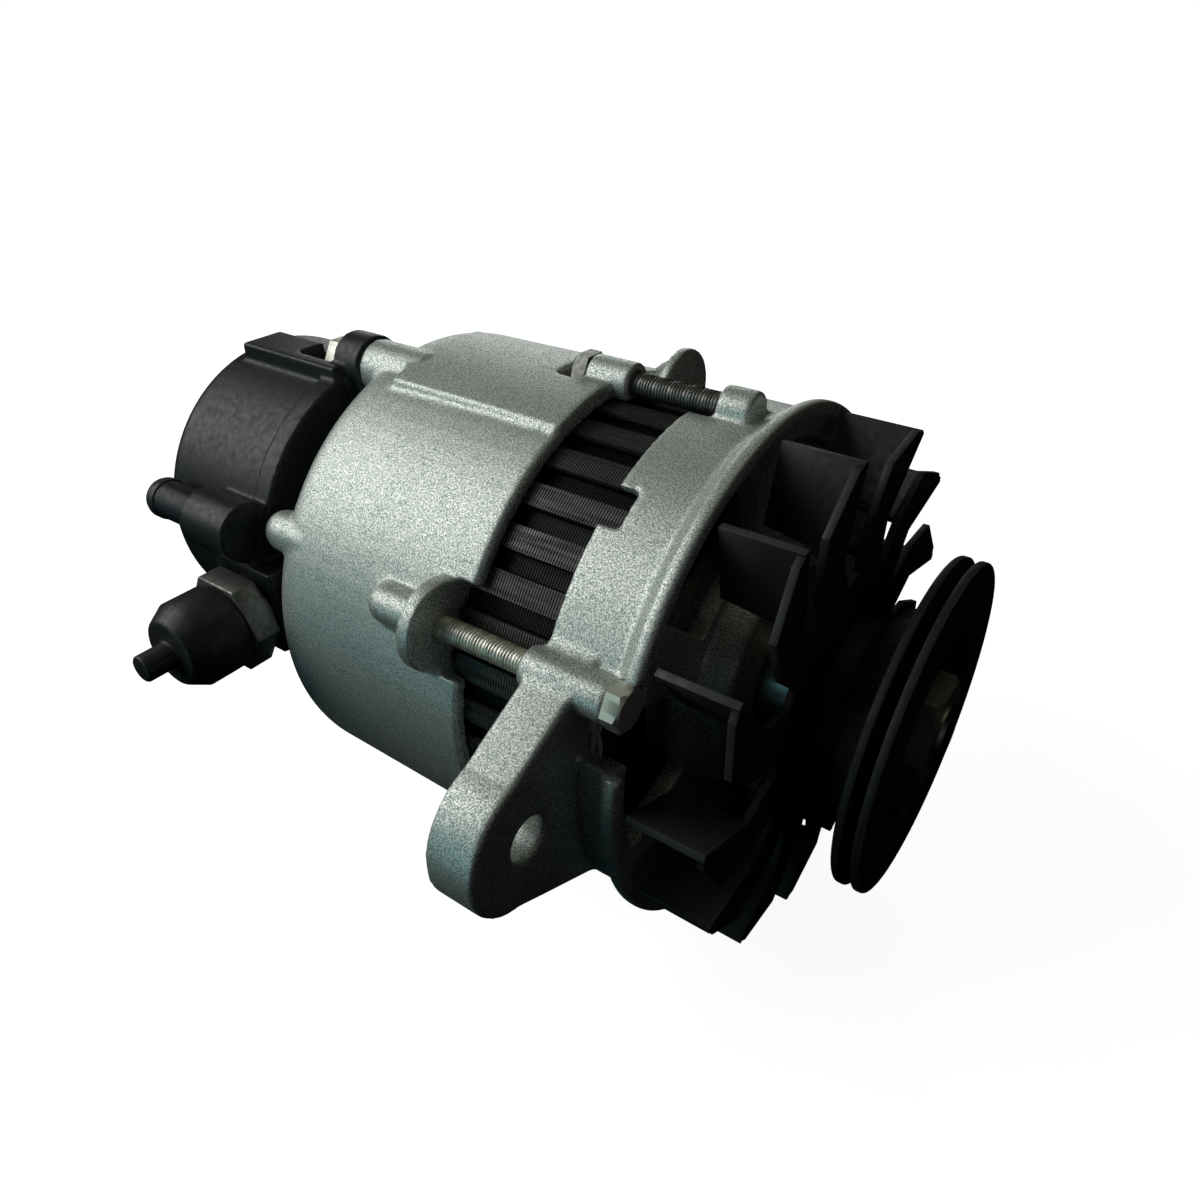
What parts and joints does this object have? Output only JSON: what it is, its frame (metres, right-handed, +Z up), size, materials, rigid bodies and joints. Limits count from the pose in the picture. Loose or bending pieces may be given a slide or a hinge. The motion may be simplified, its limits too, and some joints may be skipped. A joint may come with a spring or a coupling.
{
  "type": "vehicle alternator with vacuum pump",
  "caption": "Belt-driven vehicle alternator: windowed drive end bracket with pivot lug, ribbed stator, cast rear housing, black fan and V pulley, and a vacuum pump on its rear.",
  "frame": {"origin": "on the shaft's axis, in the middle plane of the belt groove", "axes": "+X along the shaft out of the pulley end, -Y towards the pivot lug, +Z up"},
  "size_m": [0.2066, 0.1792, 0.1378],
  "materials": {
    "cast_aluminium": "bead-blasted casting",
    "lamination_steel": "dark laminated sheet steel",
    "winding_copper": "enamelled copper wire",
    "bearing_steel": "ground",
    "shaft_steel": "machined",
    "zinc_steel": "zinc plated",
    "pole_steel": "forged steel",
    "black_paint": "black paint, satin",
    "pump_paint": "black paint over casting, satin",
    "heat_sink": "sheet",
    "moulded_plastic": "moulded",
    "insulation": "phenolic",
    "ring_copper": "turned",
    "brush_carbon": "pressed carbon",
    "spring_steel": "drawn wire",
    "seal_rubber": "moulded",
    "gasket_paper": "pressed sheet",
    "cap_plastic": "moulded"
  },
  "bodies": {
    "housing": {"drive_end_bracket": "cast_aluminium", "rear_housing": "cast_aluminium", "stator_core": "lamination_steel", "stator_winding": "winding_copper", "bearing_retainer": "zinc_steel", "retainer_screws": "zinc_steel", "front_bearing_outer_ring": "bearing_steel", "rear_bearing_outer_ring": "bearing_steel", "through_bolts": "zinc_steel", "rectifier_plate_negative": "heat_sink", "rectifier_plate_positive": "heat_sink", "diodes_negative": "zinc_steel", "diodes_positive": "zinc_steel", "rectifier_insulators": "insulation", "brush_holder": "moulded_plastic", "voltage_regulator": "moulded_plastic", "terminal_insulator": "insulation", "output_terminal": "zinc_steel", "terminal_nut": "zinc_steel", "pump_body": "pump_paint", "pump_end_plate": "shaft_steel", "pump_bolts": "black_paint", "oil_inlet_pipe": "zinc_steel", "union_washer": "ring_copper", "vacuum_union": "zinc_steel", "union_cap": "cap_plastic", "pump_gasket": "gasket_paper", "shaft_oil_seal": "seal_rubber", "brush_spring_front": "spring_steel", "brush_spring_rear": "spring_steel"},
    "rotor": {"rotor_shaft": "shaft_steel", "claw_pole_front": "pole_steel", "claw_pole_rear": "pole_steel", "field_core": "pole_steel", "coil_bobbin": "insulation", "field_coil": "winding_copper", "slip_ring_insulator": "moulded_plastic", "slip_ring_front": "ring_copper", "slip_ring_rear": "ring_copper", "front_bearing_inner_ring": "bearing_steel", "rear_bearing_inner_ring": "bearing_steel", "fan": "black_paint", "fan_spacer": "shaft_steel", "pulley_rear_half": "black_paint", "pulley_front_half": "black_paint", "nut_washer": "black_paint", "pulley_nut": "black_paint", "pump_rotor": "pole_steel", "pump_vanes": "brush_carbon"},
    "front_cage": {"front_bearing_cage": "ring_copper", "front_bearing_balls": "bearing_steel"},
    "rear_cage": {"rear_bearing_cage": "ring_copper", "rear_bearing_balls": "bearing_steel"},
    "brush_front": {"brush_front": "brush_carbon"},
    "brush_rear": {"brush_rear": "brush_carbon"}
  },
  "joints": [
    {"name": "rotor_spin", "type": "hinge", "parent": "housing", "child": "rotor", "pos_m": [0, 0, 0], "axis": [1, 0, 0], "continuous": true},
    {"name": "front_cage_spin", "type": "hinge", "parent": "housing", "child": "front_cage", "pos_m": [0, 0, 0], "axis": [1, 0, 0], "continuous": true},
    {"name": "rear_cage_spin", "type": "hinge", "parent": "housing", "child": "rear_cage", "pos_m": [0, 0, 0], "axis": [1, 0, 0], "continuous": true},
    {"name": "brush_front_slide", "type": "slide", "parent": "housing", "child": "brush_front", "axis": [0, 0, 1], "range_m": [0, 0.006], "stiffness_N_per_m": 300, "springref_m": -0.01, "deforming": ["brush_spring_front"]},
    {"name": "brush_rear_slide", "type": "slide", "parent": "housing", "child": "brush_rear", "axis": [0, 0, 1], "range_m": [0, 0.006], "stiffness_N_per_m": 300, "springref_m": -0.01, "deforming": ["brush_spring_rear"]}
  ],
  "couplings": [
    {"joint": "front_cage_spin", "follows": "rotor_spin", "ratio": 0.36562},
    {"joint": "rear_cage_spin", "follows": "rotor_spin", "ratio": 0.384}
  ]
}
